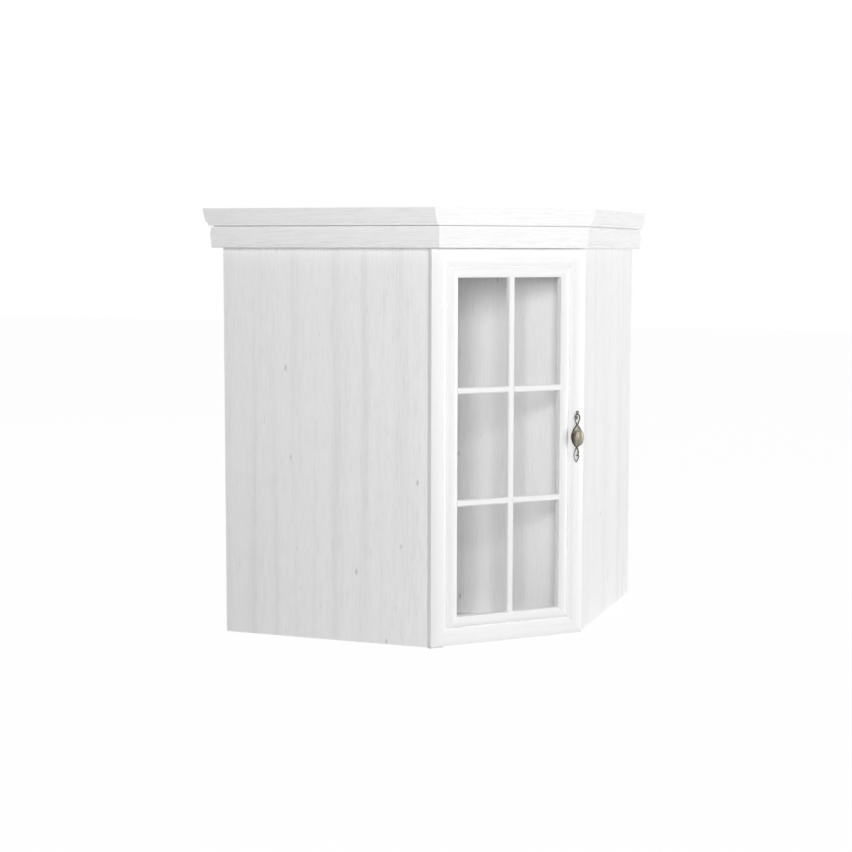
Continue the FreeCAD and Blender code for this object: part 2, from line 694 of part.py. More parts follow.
# bars over the pane, lapped where they cross
OPENING_FOOT = "(door_foot + frame_width)"
OPENING_HEAD = f"({DOOR_TOP} - frame_width)"
LOWER_BAR_SHARE = 0.338
UPPER_BAR_SHARE = 0.67
UPRIGHT_SHARE = 0.51
MUNTIN_CORNERS = (
    ("0", "0"),
    ("muntin_width", "0"),
    ("muntin_width", "muntin_depth - muntin_bevel"),
    ("muntin_width - muntin_bevel", "muntin_depth"),
    ("muntin_bevel", "muntin_depth"),
    ("0", "muntin_depth - muntin_bevel"))
BAR_LEFT = f"(door_reveal + door_width * {UPRIGHT_SHARE} - muntin_width / 2)"
UPRIGHT_TURN = FreeCAD.Rotation(ALONG * -1, OUTWARD, UP, "ZXY")
LEVEL_TURN = FreeCAD.Rotation(UP, OUTWARD, ALONG, "ZXY")
upright = padded("upright_bar", MUNTIN_CORNERS, f"{OPENING_HEAD} - {OPENING_FOOT}")
door_place(upright, f"{BAR_LEFT} + muntin_width", PANE_LEVEL, OPENING_FOOT, UPRIGHT_TURN)
laps = []
LAP_HEIGHT = "muntin_depth / 2 + overrun"
LAP_REACH = "muntin_width + 2 * overrun"
for name, share in (("lower", LOWER_BAR_SHARE), ("upper", UPPER_BAR_SHARE)):
    foot = f"({OPENING_FOOT} + ({OPENING_HEAD} - {OPENING_FOOT}) * {share} - muntin_width / 2)"
    back_lap = box(f"back_lap_{name}", LAP_REACH, LAP_HEIGHT, "muntin_width")
    door_place(back_lap, f"{BAR_LEFT} - overrun", f"{PANE_LEVEL} + muntin_depth / 2", foot)
    laps.append(back_lap)
    bar = padded(f"{name}_bar", MUNTIN_CORNERS, BEAD_SPAN)
    door_place(bar, "door_reveal + frame_width", PANE_LEVEL, foot, LEVEL_TURN)
    front_lap = box(f"front_lap_{name}", "muntin_width", LAP_HEIGHT, LAP_REACH)
    front_level = f"{PANE_LEVEL} + muntin_depth + overrun"
    door_place(front_lap, BAR_LEFT, front_level, f"{foot} - overrun")
    keep(cut(f"{name}_muntin", bar, [front_lap]), f"muntin_{name}")
keep(cut("upright_muntin", upright, laps), "muntin_vertical")

# handle: almond plate with an open loop above and below, and an oval knob on a neck
HALF_WIDTH = size("plate_half_width")
HALF_HEIGHT = size("plate_half_height")
LOOP = size("loop_length")
LOOP_HALF = size("loop_half_width")
WIRE = size("loop_wire")
LOOP_SHOULDER_SHARE = 0.4
LOOP_SWELL_SHARE = 1.2


def on_plate(spot):
    return on_door(handle_u + spot[0], DOOR_BACK + THICK, handle_z + spot[1])


def almond(half_width, half_height):
    return section((0.0, -half_height), [
        [(half_width, 0.0), (0.0, half_height)],
        [(-half_width, 0.0), (0.0, -half_height)]], on_plate)


def loop(half_width, foot, tip, sign):
    """Teardrop from its round foot to its point."""
    shoulder = foot + (tip - foot) * LOOP_SHOULDER_SHARE
    swell = half_width * LOOP_SWELL_SHARE
    return section((0.0, sign * tip), [
        [(half_width, sign * tip), (swell, sign * foot), (0.0, sign * foot)],
        [(-swell, sign * foot), (-half_width, sign * shoulder), (0.0, sign * tip)]], on_plate)


thick = OUTWARD * size("handle_plate_thick")
plate = almond(HALF_WIDTH, HALF_HEIGHT).extrude(thick)
for sign in (1, -1):
    foot = HALF_HEIGHT - WIRE
    outer = loop(LOOP_HALF, foot, HALF_HEIGHT + LOOP, sign).extrude(thick)
    inner = loop(LOOP_HALF - WIRE, foot + WIRE, HALF_HEIGHT + LOOP - 2 * WIRE, sign).extrude(thick)
    plate = plate.fuse(outer.cut(inner))
plate = plate.cut(handle_screw.Shape).removeSplitter()
item = doc.addObject("Part::Feature", "handle_plate")
item.Shape = plate.Solids[0]
keep(item, "handle_backplate")

neck = rod("knob_neck", "knob_neck_radius", "knob_neck_length")
door_place(neck, HANDLE_U, "door_gap + door_thick + handle_plate_thick", "handle_height", OUT_TURN)
oval = doc.addObject("Part::Ellipsoid", "knob_oval")
bind(oval, "Radius1", "knob_half_height")
bind(oval, "Radius2", "knob_half_width")
bind(oval, "Radius3", "knob_half_depth")
oval.Angle1 = -90
oval.Angle2 = 90
oval.Angle3 = 360
door_place(oval, HANDLE_U, f"door_gap + {HANDLE_GRIP}", "handle_height")
solid = fuse("knob_solid", [neck, oval])
keep(cut("knob", solid, [handle_screw]), "handle_knob")

doc.recompute()
failed = [item.Label for item in doc.Objects if {"Invalid", "Error"} & set(item.State)]
for label, item in NODES.items():
    if item.Shape.isNull() or not item.Shape.isValid() or not item.Shape.Solids:
        failed.append(label)
if failed:
    raise SystemExit("failed: " + ", ".join(failed))
os.makedirs("parts", exist_ok=True)
for label, item in NODES.items():
    item.Shape.exportStep(f"parts/{label}.step")
    print(label, len(item.Shape.Solids), round(item.Shape.Volume, 1))
print(len(NODES), "nodes")
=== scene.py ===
"""Corner display cabinet in white-washed pine, dressed and lit in a plain pale studio."""
import json
import math

import bmesh
import bpy
from mathutils import Matrix, Vector


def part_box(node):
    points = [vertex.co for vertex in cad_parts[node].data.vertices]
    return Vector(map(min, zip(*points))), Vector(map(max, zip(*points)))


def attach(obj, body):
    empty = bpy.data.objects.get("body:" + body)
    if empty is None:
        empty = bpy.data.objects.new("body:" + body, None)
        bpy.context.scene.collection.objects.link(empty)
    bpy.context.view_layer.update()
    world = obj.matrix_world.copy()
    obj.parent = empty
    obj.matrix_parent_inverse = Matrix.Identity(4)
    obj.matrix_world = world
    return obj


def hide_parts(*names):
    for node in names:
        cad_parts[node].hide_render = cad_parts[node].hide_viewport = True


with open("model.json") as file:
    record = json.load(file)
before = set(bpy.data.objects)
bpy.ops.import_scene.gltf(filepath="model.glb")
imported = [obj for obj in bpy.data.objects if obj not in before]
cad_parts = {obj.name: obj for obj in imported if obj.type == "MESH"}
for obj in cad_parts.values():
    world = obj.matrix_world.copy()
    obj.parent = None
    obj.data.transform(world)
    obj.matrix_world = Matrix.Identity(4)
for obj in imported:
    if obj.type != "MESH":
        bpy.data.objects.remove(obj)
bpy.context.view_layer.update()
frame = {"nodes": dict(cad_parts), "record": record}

MM = 0.001
ROOT_HALF = math.sqrt(0.5)
ALONG = Vector((ROOT_HALF, ROOT_HALF, 0.0))
OUTWARD = Vector((ROOT_HALF, -ROOT_HALF, 0.0))
UP = Vector((0.0, 0.0, 1.0))
WHITE = (1.0, 1.0, 1.0, 1.0)

# ---- camera, solved from the photograph's straight edges, in metres and degrees

IMAGE_SIZE = 852
FOCAL_PIXELS = 1733.64
CAMERA_TURN = -19.604
CAMERA_PITCH = 5.789
CAMERA_ROLL = 0.12
CAMERA_PLACE = Vector((1.3734, -3.3846, 0.6862))
SENSOR = 36.0
FAR_LIMIT = 50.0


def make_camera():
    """Camera at the photograph's place and angle."""
    data = bpy.data.cameras.new("camera")
    data.sensor_width = SENSOR
    data.sensor_fit = "HORIZONTAL"
    data.lens = FOCAL_PIXELS / IMAGE_SIZE * SENSOR
    data.clip_end = FAR_LIMIT
    camera = bpy.data.objects.new("camera", data)
    bpy.context.scene.collection.objects.link(camera)
    yaw = math.radians(CAMERA_TURN)
    pitch = math.radians(CAMERA_PITCH)
    roll = math.radians(CAMERA_ROLL)
    level = math.cos(pitch)
    ahead = Vector((math.sin(yaw) * level, math.cos(yaw) * level, -math.sin(pitch)))
    right = Vector((math.cos(yaw), -math.sin(yaw), 0.0))
    top = right.cross(ahead)
    turned_right = right * math.cos(roll) + top * math.sin(roll)
    turned_top = top * math.cos(roll) - right * math.sin(roll)
    turn = Matrix((turned_right, turned_top, -ahead)).transposed()
    camera.matrix_world = Matrix.Translation(CAMERA_PLACE) @ turn.to_4x4()
    bpy.context.scene.camera = camera


# ---- materials

# sockets of the Mix node when it mixes colours
MIX_FACTOR = 0
MIX_FIRST = 6
MIX_SECOND = 7
MIX_RESULT = 2


def colour_output(node):
    """The socket that gives a node's colour."""
    return MIX_RESULT if node.bl_idname == "ShaderNodeMix" else "Color"


class Graph:
    """One material, with helpers that add and join its shader nodes."""

    def __init__(self, name):
        self.material = bpy.data.materials.new(name)
        self.material.use_nodes = True
        self.tree = self.material.node_tree
        self.tree.nodes.clear()
        self.output = self.tree.nodes.new("ShaderNodeOutputMaterial")
        self.shader = self.add("ShaderNodeBsdfPrincipled")
        self.join(self.shader, "BSDF", self.output, "Surface")

    def add(self, kind, **values):
        """Add a node and set its own values."""
        node = self.tree.nodes.new(kind)
        for key, value in values.items():
            setattr(node, key, value)
        return node

    def join(self, source, output, target, socket):
        """Link an output of one node to an input of another."""
        self.tree.links.new(source.outputs[output], target.inputs[socket])

    def set(self, **values):
        """Set the shader's own sockets, named with _ for a space."""
        for socket, value in values.items():
            self.shader.inputs[socket.replace("_", " ")].default_value = value

    def coordinates(self, axis="Z", along=1.0, offset=(0.0, 0.0, 0.0)):
        """Object coordinates in which patterns run long along one axis."""
        place = self.add("ShaderNodeTexCoord")
        mapping = self.add("ShaderNodeMapping")
        mapping.inputs["Scale"].default_value = [along if axis == each else 1.0 for each in "XYZ"]
        mapping.inputs["Location"].default_value = offset
        self.join(place, "Object", mapping, "Vector")
        return mapping

    def noise(self, mapping, scale, detail, rough, twist=0.0):
        """Noise pattern over a mapping's coordinates."""
        node = self.add("ShaderNodeTexNoise")
        node.inputs["Scale"].default_value = scale
        node.inputs["Detail"].default_value = detail
        node.inputs["Roughness"].default_value = rough
        node.inputs["Distortion"].default_value = twist
        self.join(mapping, "Vector", node, "Vector")
        return node

    def calculate(self, operation, source, output, second, third=0.0):
        """One sum on a source's output and one or two constants."""
        node = self.add("ShaderNodeMath", operation=operation)
        self.join(source, output, node, 0)
        node.inputs[1].default_value = second
        node.inputs[2].default_value = third
        return node

    def ramp(self, source, output, *stops):
        """Tones at places from 0 to 1; a tone is a grey or a colour."""
        node = self.add("ShaderNodeValToRGB")
        elements = node.color_ramp.elements
        while len(elements) < len(stops):
            elements.new(0.5)
        for element, (place, tone) in zip(elements, stops):
            element.position = place
            element.color = (*(tone if isinstance(tone, tuple) else (tone,) * 3), 1.0)
        self.join(source, output, node, "Fac")
        return node

    def mix(self, mode, amount, first, second):
        """Mix two colours, each a node or a plain colour, by a number or a node."""
        node = self.add("ShaderNodeMix", data_type="RGBA", blend_type=mode)
        if isinstance(amount, float):
            node.inputs[MIX_FACTOR].default_value = amount
        else:
            self.join(amount, "Color", node, MIX_FACTOR)
        for socket, source in ((MIX_FIRST, first), (MIX_SECOND, second)):
            if isinstance(source, tuple):
                node.inputs[socket].default_value = (*source, 1.0)
            else:
                self.join(source, colour_output(source), node, socket)
        return node

    def colour(self, node):
        """Send a node's colour to the surface."""
        self.join(node, colour_output(node), self.shader, "Base Color")

    def roughness(self, source, low, high):
        """Roughness that follows a pattern from low to high."""
        node = self.add("ShaderNodeMapRange")
        self.join(source, "Fac", node, "Value")
        node.inputs["To Min"].default_value = low
        node.inputs["To Max"].default_value = high
        self.join(node, "Result", self.shader, "Roughness")

    def bump(self, source, strength, distance):
        """Relief that follows a pattern, up to a distance in metres."""
        node = self.add("ShaderNodeBump")
        node.inputs["Strength"].default_value = strength
        node.inputs["Distance"].default_value = distance
        self.join(source, "Fac", node, "Height")
        self.join(node, "Normal", self.shader, "Normal")

    def blend(self, source, output, first, first_output, second, second_output):
        """Mix two shaders by a source and send the result to the surface."""
        node = self.add("ShaderNodeMixShader")
        self.join(source, output, node, "Fac")
        self.join(first, first_output, node, 1)
        self.join(second, second_output, node, 2)
        self.join(node, "Shader", self.output, "Surface")


WASH = (0.945, 0.945, 0.945)
# paler copy of the wash: painted light that lifts the shaded inside of the cabinet and makes the
# cornice's front lighter than its sides
PAINTED_LIGHT_WASH = (0.98, 0.98, 0.98)
THICK_WASH = (0.95, 0.95, 0.95)
GREY_STREAK = (0.5, 0.5, 0.5)
KNOT_GREY = (0.35, 0.34, 0.33)
GRAIN_WEIGHT = 0.62
RING_COUNT = 11.0
KNOT_SCALE = 24.0
PINE_PALE = (0.72, 0.55, 0.34)
PINE_DEEP = (0.55, 0.38, 0.2)
MIRROR = (0.9, 0.92, 0.92, 1.0)
GLOSS_SHARE = 0.01
GLOSS_POWER = 5.0
SMEAR_ROUGHNESS = (0.01, 0.05)
SMOOTH_SHARE = 0.8
COARSE_SHARE = 1.3
FRONT_TURN = math.radians(45)


def washed_wood(name, axis, streaks=1.0, knots=1.0, shift=0.0, tone=WASH):
    """White-washed pine along one axis: bands, arched figure, fibres, flecks and small knots."""
    graph = Graph(name)

    def place(along, *shares):
        return graph.coordinates(axis, along, [shift * share for share in shares])

    broad = graph.noise(place(0.02, 1.9, 1.0, 0.4), scale=40.0, detail=3.0, rough=0.6, twist=0.3)
    broad_tone = graph.ramp(broad, "Fac", (0.34, 0.88), (0.48, 0.975), (0.6, 1.0))

    wide = place(0.07, 1.0, 0.7, 1.3)
    figure = graph.noise(wide, scale=26.0, detail=5.0, rough=0.62, twist=0.8)
    rings = graph.calculate("MULTIPLY", figure, "Fac", RING_COUNT)
    fold = graph.calculate("PINGPONG", rings, "Value", 1.0)
    ring_tone = graph.ramp(fold, "Value", (0.0, 0.76), (0.14, 0.95), (0.4, 1.0))
    patches = graph.noise(wide, scale=9.0, detail=2.0, rough=0.5)
    where = graph.ramp(patches, "Fac", (0.42, 0.0), (0.62, 0.3 * streaks))

    fine = graph.noise(place(0.05, 1.0, 1.4, 0.8), scale=420.0, detail=3.0, rough=0.7)
    fine_tone = graph.ramp(fine, "Fac", (0.3, 0.87), (0.55, 1.0))
    flecks = graph.noise(place(0.09, 0.6, 1.0, 1.0), scale=300.0, detail=2.0, rough=0.6)
    dark = graph.ramp(flecks, "Fac", (0.65, 0.0), (0.76, 0.42 * streaks))

    cell = graph.add("ShaderNodeTexVoronoi")
    cell.inputs["Scale"].default_value = KNOT_SCALE
    graph.join(place(0.45, 1.0, 2.0, 0.3), "Vector", cell, "Vector")
    knot = graph.ramp(cell, "Distance", (0.03, 0.42 * knots), (0.055, 0.18 * knots), (0.085, 0.0))

    wash = graph.mix("MULTIPLY", where, tone, ring_tone)
    wash = graph.mix("MULTIPLY", GRAIN_WEIGHT * streaks, wash, broad_tone)
    wash = graph.mix("MULTIPLY", GRAIN_WEIGHT, wash, fine_tone)
    wash = graph.mix("MIX", dark, wash, GREY_STREAK)
    graph.colour(graph.mix("MIX", knot, wash, KNOT_GREY))
    graph.set(Roughness=0.48, Specular_IOR_Level=0.35)
    graph.bump(fine, strength=0.12, distance=0.0004)
    return graph.material


def painted_moulding(name, axis):
    """Door moulding: the same wash laid thicker, so the grain only whispers through."""
    graph = Graph(name)
    grain = graph.noise(graph.coordinates(axis, 0.03), scale=300.0, detail=3.0, rough=0.65)
    tone = graph.ramp(grain, "Fac", (0.3, 0.955), (0.6, 1.0))
    graph.colour(graph.mix("MULTIPLY", 0.7, THICK_WASH, tone))
    graph.set(Roughness=0.4, Specular_IOR_Level=0.4)
    graph.bump(grain, strength=0.06, distance=0.0003)
    return graph.material


def bare_wood(name, axis, pale, deep):
    """Unpainted wood with its figure along one axis."""
    graph = Graph(name)
    place = graph.coordinates(axis, 0.08)
    figure = graph.noise(place, scale=60.0, detail=5.0, rough=0.6, twist=0.6)
    graph.colour(graph.ramp(figure, "Fac", (0.3, deep), (0.6, pale)))
    graph.set(Roughness=0.7)
    graph.bump(figure, strength=0.2, distance=0.0005)
    return graph.material


def clear_glass():
    """Thin clear pane: see-through, with a mirror gloss that grows at a slant and faint smears."""
    graph = Graph("clear_glass")
    smear = graph.noise(graph.coordinates(), scale=12.0, detail=3.0, rough=0.5)
    graph.roughness(smear, *SMEAR_ROUGHNESS)
    graph.set(Base_Color=MIRROR, Metallic=1.0)
    clear = graph.add("ShaderNodeBsdfTransparent")
    clear.inputs["Color"].default_value = WHITE
    slant = graph.add("ShaderNodeLayerWeight")
    slant.inputs["Blend"].default_value = 0.5
    rise = graph.calculate("POWER", slant, "Facing", GLOSS_POWER)
    gloss = graph.calculate("MULTIPLY_ADD", rise, "Value", 1.0 - GLOSS_SHARE, GLOSS_SHARE)
    graph.blend(gloss, "Value", clear, "BSDF", graph.shader, "BSDF")
    return graph.material


def metal(name, deep, pale, rough, scale=180.0):
    """Metal with a mottled patina: darker in patches, brighter where it is rubbed."""
    graph = Graph(name)
    mottle = graph.noise(graph.coordinates(), scale=scale, detail=5.0, rough=0.65)
    graph.colour(graph.ramp(mottle, "Fac", (0.35, deep), (0.65, pale)))
    graph.roughness(mottle, rough * SMOOTH_SHARE, rough * COARSE_SHARE)
    graph.set(Metallic=1.0)
    graph.bump(mottle, strength=0.15, distance=0.0002)
    return graph.material


def moulded_plastic(name, colour, rough):
    """Plastic or powder coat with a fine even grain."""
    graph = Graph(name)
    grain = graph.noise(graph.coordinates(), scale=900.0, detail=2.0, rough=0.5)
    tone = graph.ramp(grain, "Fac", (0.3, 0.95), (0.7, 1.0))
    graph.colour(graph.mix("MULTIPLY", 0.6, colour, tone))
    graph.set(Roughness=rough)
    graph.bump(grain, strength=0.05, distance=0.0002)
    return graph.material


def diagonal(material_maker, name, **values):
    """Wood whose grain runs level along the door: its coordinates are turned to the front."""
    material = material_maker(name, "X", **values)
    tree = material.node_tree
    for node in list(tree.nodes):
        if node.bl_idname == "ShaderNodeMapping":
            turn = tree.nodes.new("ShaderNodeMapping")
            turn.inputs["Rotation"].default_value = (0.0, 0.0, -FRONT_TURN)
            tree.links.new(node.inputs["Vector"].links[0].from_socket, turn.inputs["Vector"])
            tree.links.new(turn.outputs["Vector"], node.inputs["Vector"])
    return material


def choose_by_node():
    """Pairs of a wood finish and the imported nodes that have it."""
    upright = washed_wood("washed_upright", "Z", shift=0.83)
    # inner panels and boards take the paler wash, painted light that makes up for the shade inside
    # the cabinet
    inner = washed_wood("washed_inner", "Z", streaks=0.45, knots=1.2, shift=3.7, tone=PAINTED_LIGHT_WASH)
    board = washed_wood("washed_board", "X", streaks=0.6, knots=0.6, shift=1.9, tone=PAINTED_LIGHT_WASH)
    level_x = washed_wood("washed_level_x", "X", streaks=0.7, knots=0.0, shift=5.1)
    level_y = washed_wood("washed_level_y", "Y", streaks=0.7, knots=0.0, shift=6.3)
    # the cornice's front, header and packer take the paler wash too, painted light that makes them
    # lighter than the cornice's sides
    level_front = diagonal(washed_wood, "washed_level_front",
                           streaks=0.5, knots=0.0, shift=2.6, tone=PAINTED_LIGHT_WASH)
    stile = painted_moulding("moulding_upright", "Z")
    rail = diagonal(painted_moulding, "moulding_level")
    pine_y = bare_wood("sawn_pine", "Y", PINE_PALE, PINE_DEEP)
    pine_x = bare_wood("sawn_pine_x", "X", PINE_PALE, PINE_DEEP)
    return (
        (upright, ("side_panel_left", "side_panel_right")),
        (inner, ("back_panel_left", "back_panel_right", "inner_back")),
        (board, ("bottom_board", "top_board")),
        (level_x, ("cornice_band_left", "cornice_crown_left",
                   "cornice_band_back_right", "cornice_crown_back_right")),
        (level_y, ("cornice_band_right", "cornice_crown_right",
                   "cornice_band_back_left", "cornice_crown_back_left")),
        (level_front, ("cornice_band_front", "cornice_crown_front",
                       "header_rail", "cornice_packer")),
        (stile, ("door_stile_left", "door_stile_right", "muntin_vertical",
                 "glazing_bead_left", "glazing_bead_right")),
        (rail, ("door_rail_top", "door_rail_bottom", "muntin_lower", "muntin_upper",
                "glazing_bead_top", "glazing_bead_bottom")),
        (pine_y, ("hanging_batten_left", "wall_spacer_left")),
        (pine_x, ("hanging_batten_right", "wall_spacer_right")),
    )


def choose_by_slot():
    """Finishes of the nodes that go by their material slot."""
    return {
        "clear_glass": clear_glass(),
        "beech": bare_wood("beech", "Y", (0.7, 0.5, 0.33), (0.58, 0.39, 0.25)),
        "zinc_steel": metal("zinc", (0.24, 0.245, 0.26), (0.4, 0.405, 0.42), 0.36, 240.0),
        "white_plastic": moulded_plastic("white_plastic", (0.82, 0.82, 0.8), 0.45),
        "soft_bumper": moulded_plastic("soft_bumper", (0.7, 0.7, 0.68), 0.6),
        "white_coated_steel": moulded_plastic("white_coat", (0.86, 0.86, 0.85), 0.35),
    }


def dress_nodes():
    """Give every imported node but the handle's its finish, in all its slots."""
    by_node = {node: finish for finish, nodes in choose_by_node() for node in nodes}
    by_slot = choose_by_slot()
    for part in frame["record"]["subparts"]:
        finish = by_node.get(part["node"]) or by_slot.get(part["material_slot"])
        if finish:
            materials = frame["nodes"][part["node"]].data.materials
            materials.clear()
            materials.append(finish)


# ---- handle, in millimetres along the door, out from its face and up, from the plate's middle

WIRE_SIDES = 12
WIRE_STEPS = 8
PLATE_BACK = 0.75
DISH_HALF_WIDTH = 10.6
DISH_HALF_HEIGHT = 20.7
DISH_REACH_SHARE = 0.97
DISH_ROUNDING = 0.95
DISH_ROWS = 40
DISH_COLUMNS = 12
DISH_MIDDLE_OUT = 1.1
DISH_EDGE_RISE = 0.5
DISH_BACK_OUT = 0.05
OVAL_SEGMENTS = 72
OVAL_RINGS = 36
KNOB_OUT = 9.0
KNOB_HALF = (9.2, 7.5, 15.0)
KNOB_DROP = 1.2
KNOB_FLUTES = 9
FLUTE_SHARE = 0.018
FLUTE_TWIST = 2.2

# each point has the wire's radius as its fourth value
WIRES = (
    ((0.8, 1.6, 39.6, 0.9), (4.4, 1.6, 36.9, 1.0), (5.4, 1.7, 31.8, 1.0), (3.5, 2.1, 26.3, 1.1),
     (0.0, 2.7, 20.7, 1.2), (-4.7, 2.0, 15.4, 1.1), (-8.2, 1.7, 10.2, 1.1),
     (-10.4, 1.6, 3.0, 1.2), (-10.3, 1.6, -3.4, 1.2), (-8.0, 1.7, -10.6, 1.15),
     (-4.5, 2.0, -15.8, 1.15), (0.0, 2.7, -20.5, 1.2), (2.5, 2.0, -26.0, 1.2),
     (3.0, 1.7, -30.4, 1.2), (1.6, 1.6, -34.8, 1.1), (0.3, 1.7, -34.2, 0.9)),
    ((-1.3, 1.7, 31.4, 0.8), (-0.2, 1.7, 33.6, 0.85), (-1.7, 1.7, 36.0, 0.9),
     (-3.9, 1.6, 34.8, 1.0), (-4.3, 1.6, 30.6, 0.8), (-2.7, 1.7, 25.6, 0.85),
     (0.0, 1.2, 20.7, 1.0), (4.7, 1.8, 15.4, 0.9), (8.2, 1.7, 10.2, 0.9), (10.4, 1.6, 3.0, 1.0),
     (10.3, 1.6, -3.4, 1.0), (8.0, 1.7, -10.6, 1.1), (4.5, 1.8, -15.8, 1.2),
     (0.0, 1.2, -20.5, 1.1), (-3.3, 1.5, -25.4, 0.8), (-5.0, 1.5, -30.0, 0.65),
     (-5.6, 1.5, -35.0, 0.65), (-3.7, 1.5, -40.6, 0.7), (-0.4, 1.5, -46.6, 0.5)),
    ((1.1, 1.5, -33.6, 0.8), (3.3, 1.5, -33.9, 0.9), (4.3, 1.5, -36.4, 0.95),
     (2.4, 1.5, -41.5, 0.9), (-0.2, 1.5, -46.2, 0.5)),
    ((-4.1, 1.6, 33.0, 0.9), (-3.2, 1.6, 37.0, 0.95), (0.4, 1.6, 39.6, 0.9)),
)
KNOB_NECK = ((0.0, 0.9, 0.0, 5.2), (0.0, 1.9, 0.0, 4.6), (0.0, 3.0, 0.0, 3.6),
             (0.0, KNOB_OUT, 0.0, 3.6))

# balls as a middle and a radius
BALLS = ((-1.3, 1.8, 31.6, 1.5), (0.5, 1.6, 39.4, 1.3), (0.4, 1.6, -34.6, 1.4))
FINIAL = (0.6, 1.6, 42.6)
FINIAL_RING = 1.9
FINIAL_WIRE = 0.85
FINIAL_STEPS = 8


def plate_middle():
    """Middle of the handle's plate, on the door's face."""
    low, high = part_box("handle_backplate")
    return (Vector(low) + Vector(high)) / 2 - OUTWARD * PLATE_BACK * MM


HANDLE_MIDDLE = plate_middle()


def on_handle(spot):
    """Place in metres of a point of the handle."""
    return HANDLE_MIDDLE + (ALONG * spot[0] + OUTWARD * spot[1] + UP * spot[2]) * MM


def smooth_places(points):
    """Places on a smooth curve through the given points, radius included."""
    ends = [points[0] * 2 - points[1]] + points + [points[-1] * 2 - points[-2]]
    places = []
    for index in range(1, len(ends) - 2):
        before, here, there, after = ends[index - 1:index + 3]
        for step in range(WIRE_STEPS):
            t = step / WIRE_STEPS
            line = here * 2 + (there - before) * t
            bow = (before * 2 - here * 5 + there * 4 - after) * t ** 2
            places.append((line + bow + (here * 3 - before - there * 3 + after) * t ** 3) / 2)
    return places + [points[-1]]


def join_rings(form, first, second):
    """Faces between two closed rings of as many points."""
    for index in range(len(first)):
        following = (index + 1) % len(first)
        form.faces.new((first[index], first[following], second[following], second[index]))


def add_wire(form, points):
    """Round wire through the given points, capped at both ends."""
    places = smooth_places([Vector(point) for point in points])
    rings = []
    side = None
    for index, spot in enumerate(places):
        back = places[max(index - 1, 0)]
        ahead = places[min(index + 1, len(places) - 1)]
        way = (on_handle(ahead) - on_handle(back)).normalized()
        side = way.orthogonal() if side is None else side - way * side.dot(way)
        side.normalize()
        other = way.cross(side)
        ring = []
        for turn in range(WIRE_SIDES):
            angle = 2 * math.pi * turn / WIRE_SIDES
            reach = (side * math.cos(angle) + other * math.sin(angle)) * spot[3] * MM
            ring.append(form.verts.new(on_handle(spot) + reach))
        rings.append(ring)
    for first, second in zip(rings, rings[1:]):
        join_rings(form, first, second)
    form.faces.new(list(reversed(rings[0])))
    form.faces.new(rings[-1])


def dish_sheet(form, front):
    """Rows of points of the almond plate's dished front or its flat back, joined by faces."""
    rows = []
    for row in range(DISH_ROWS + 1):
        up = DISH_HALF_HEIGHT * (2 * row / DISH_ROWS - 1) * DISH_REACH_SHARE
        width = DISH_HALF_WIDTH * (1 - (up / DISH_HALF_HEIGHT) ** 2) ** DISH_ROUNDING
        line = []
        for column in range(DISH_COLUMNS + 1):
            across = 2 * column / DISH_COLUMNS - 1
            out = DISH_MIDDLE_OUT + DISH_EDGE_RISE * across ** 2 if front else DISH_BACK_OUT
            line.append(form.verts.new(on_handle((width * across, out, up))))
        rows.append(line)
    for low, high in zip(rows, rows[1:]):
        for column in range(DISH_COLUMNS):
            form.faces.new((low[column], low[column + 1], high[column + 1], high[column]))
    return rows


def rim(rows):
    """Points round the edge of a sheet, in order."""
    right_side = [row[-1] for row in rows[1:]]
    left_side = [row[0] for row in rows[-2:0:-1]]
    return rows[0] + right_side + rows[-1][-2::-1] + left_side


def add_dish(form):
    """Almond plate, dished towards the door in its middle and closed at its back."""
    front = dish_sheet(form, True)
    back = dish_sheet(form, False)
    join_rings(form, rim(front), rim(back))


def add_oval(form, middle, halves, flutes=0.0):
    """Ball scaled along the handle's three directions, with slightly twisted flutes."""
    turn = Matrix((ALONG, OUTWARD, UP)).transposed().to_4x4()
    made = bmesh.ops.create_uvsphere(form, u_segments=OVAL_SEGMENTS, v_segments=OVAL_RINGS,
                                     radius=1.0)
    for vert in made["verts"]:
        x, y, z = vert.co
        angle = math.atan2(y, x) * KNOB_FLUTES + z * FLUTE_TWIST
        swell = 1.0 + flutes * math.cos(angle) * (1 - z ** 2)
        scaled = Vector((x * halves[0] * swell, y * halves[1] * swell, z * halves[2]))
        vert.co = on_handle(middle) + (turn @ scaled) * MM


def finish_piece(form, name, material, node):
    """Turn a form into a smooth piece of the door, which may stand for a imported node."""
    bmesh.ops.recalc_face_normals(form, faces=form.faces)
    mesh = bpy.data.meshes.new(name)
    form.to_mesh(mesh)
    form.free()
    for face in mesh.polygons:
        face.use_smooth = True
    mesh.materials.append(material)
    piece = bpy.data.objects.new(name, mesh)
    bpy.context.scene.collection.objects.link(piece)
    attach(piece, "door")
    if node:
        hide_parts(node)


def finial_ring():
    """Points of the small ring at the handle's top, from its top and back to it."""
    along, out, up = FINIAL
    points = []
    for turn in range(FINIAL_STEPS + 1):
        angle = 2 * math.pi * turn / FINIAL_STEPS
        points.append((along + FINIAL_RING * math.sin(angle), out,
                       up + FINIAL_RING * math.cos(angle), FINIAL_WIRE))
    return points


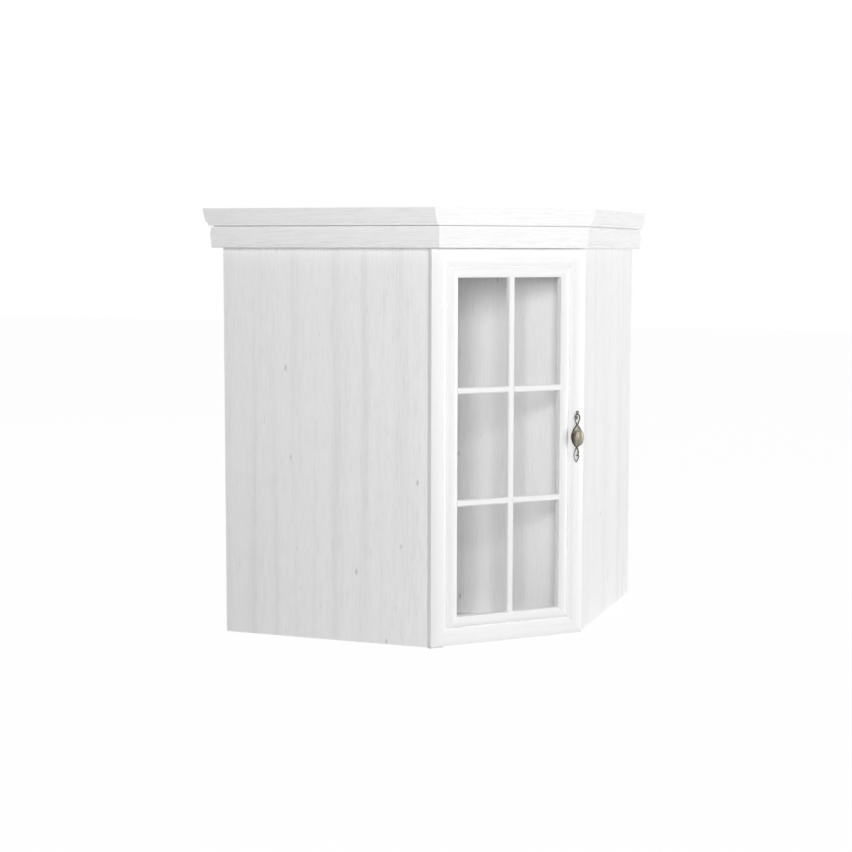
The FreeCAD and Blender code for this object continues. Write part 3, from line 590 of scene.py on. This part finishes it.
def make_handle():
    """Almond plate, twisted scroll wires round it and the oval knob."""
    wire_tone = metal("brass_wire", (0.035, 0.03, 0.02), (0.13, 0.115, 0.08), 0.34)
    plate_tone = metal("brass_plate", (0.32, 0.3, 0.25), (0.5, 0.47, 0.41), 0.5)
    knob_tone = metal("brass_knob", (0.18, 0.165, 0.125), (0.42, 0.395, 0.32), 0.54, 260.0)
    form = bmesh.new()
    add_dish(form)
    finish_piece(form, "handle_plate", plate_tone, "handle_backplate")
    form = bmesh.new()
    for points in WIRES:
        add_wire(form, points)
    for *middle, radius in BALLS:
        add_oval(form, middle, (radius, radius, radius))
    add_wire(form, finial_ring())
    finish_piece(form, "handle_scrolls", wire_tone, None)
    form = bmesh.new()
    add_oval(form, (0.0, KNOB_OUT, -KNOB_DROP), KNOB_HALF, FLUTE_SHARE)
    add_wire(form, KNOB_NECK)
    finish_piece(form, "handle_oval_knob", knob_tone, "handle_knob")


# ---- studio

FLOOR_TONE = 0.88
FLOOR_REACH = 12.0
FLOOR_WHITE_SHARE = 0.983
WORLD_STRENGTH = 0.09
LAMP_AIM = Vector((0.35, -0.35, 0.4))

# lamps as name, place in metres, width in metres and watts
LAMPS = (
    ("front", (1.36, -3.4, 1.34), 1.3, 59.0),
    ("side", (3.1, 0.5, 0.7), 1.6, 45.0),
    ("rear", (-2.3, 2.3, 1.3), 1.6, 20.0),
)


def seen_rays(tree):
    """One for camera, mirror and see-through rays, which meet the background as white."""
    path = tree.nodes.new("ShaderNodeLightPath")
    seen = path.outputs["Is Camera Ray"]
    for kind in ("Is Glossy Ray", "Is Transmission Ray"):
        either = tree.nodes.new("ShaderNodeMath")
        either.operation = "MAXIMUM"
        tree.links.new(seen, either.inputs[0])
        tree.links.new(path.outputs[kind], either.inputs[1])
        seen = either.outputs["Value"]
    return either


def make_stage():
    """Pale floor that reads white behind the cabinet and keeps its shadow."""
    mesh = bpy.data.meshes.new("floor")
    form = bmesh.new()
    bmesh.ops.create_grid(form, x_segments=1, y_segments=1, size=FLOOR_REACH)
    form.to_mesh(mesh)
    form.free()
    floor = bpy.data.objects.new("floor", mesh)
    bpy.context.scene.collection.objects.link(floor)
    graph = Graph("floor")
    graph.set(Base_Color=(FLOOR_TONE, FLOOR_TONE, FLOOR_TONE, 1.0), Roughness=0.8,
              Specular_IOR_Level=0.0)
    white = graph.add("ShaderNodeEmission")
    white.inputs["Color"].default_value = WHITE
    share = graph.calculate("MULTIPLY", seen_rays(graph.tree), "Value", FLOOR_WHITE_SHARE)
    graph.blend(share, "Value", graph.shader, "BSDF", white, "Emission")
    mesh.materials.append(graph.material)


def make_world():
    """Weak even world light that shows as white."""
    world = bpy.data.worlds.new("studio")
    world.use_nodes = True
    tree = world.node_tree
    plain = tree.nodes["Background"]
    shown = tree.nodes.new("ShaderNodeBackground")
    for node, strength in ((plain, WORLD_STRENGTH), (shown, 1.0)):
        node.inputs["Color"].default_value = WHITE
        node.inputs["Strength"].default_value = strength
    choose = tree.nodes.new("ShaderNodeMixShader")
    tree.links.new(seen_rays(tree).outputs["Value"], choose.inputs["Fac"])
    tree.links.new(plain.outputs["Background"], choose.inputs[1])
    tree.links.new(shown.outputs["Background"], choose.inputs[2])
    tree.links.new(choose.outputs["Shader"], tree.nodes["World Output"].inputs["Surface"])
    bpy.context.scene.world = world


def make_lamps():
    """Large soft lamps: from the camera's side, from the right and a weak one from behind."""
    for name, place, width, watts in LAMPS:
        data = bpy.data.lights.new(name, "AREA")
        data.shape = "SQUARE"
        data.size = width
        data.energy = watts
        lamp = bpy.data.objects.new(name, data)
        lamp.location = place
        lamp.rotation_euler = (LAMP_AIM - Vector(place)).to_track_quat("-Z", "Y").to_euler()
        bpy.context.scene.collection.objects.link(lamp)


make_camera()
dress_nodes()
make_handle()
make_stage()
make_world()
make_lamps()

bpy.context.scene.view_settings.view_transform = "Standard"
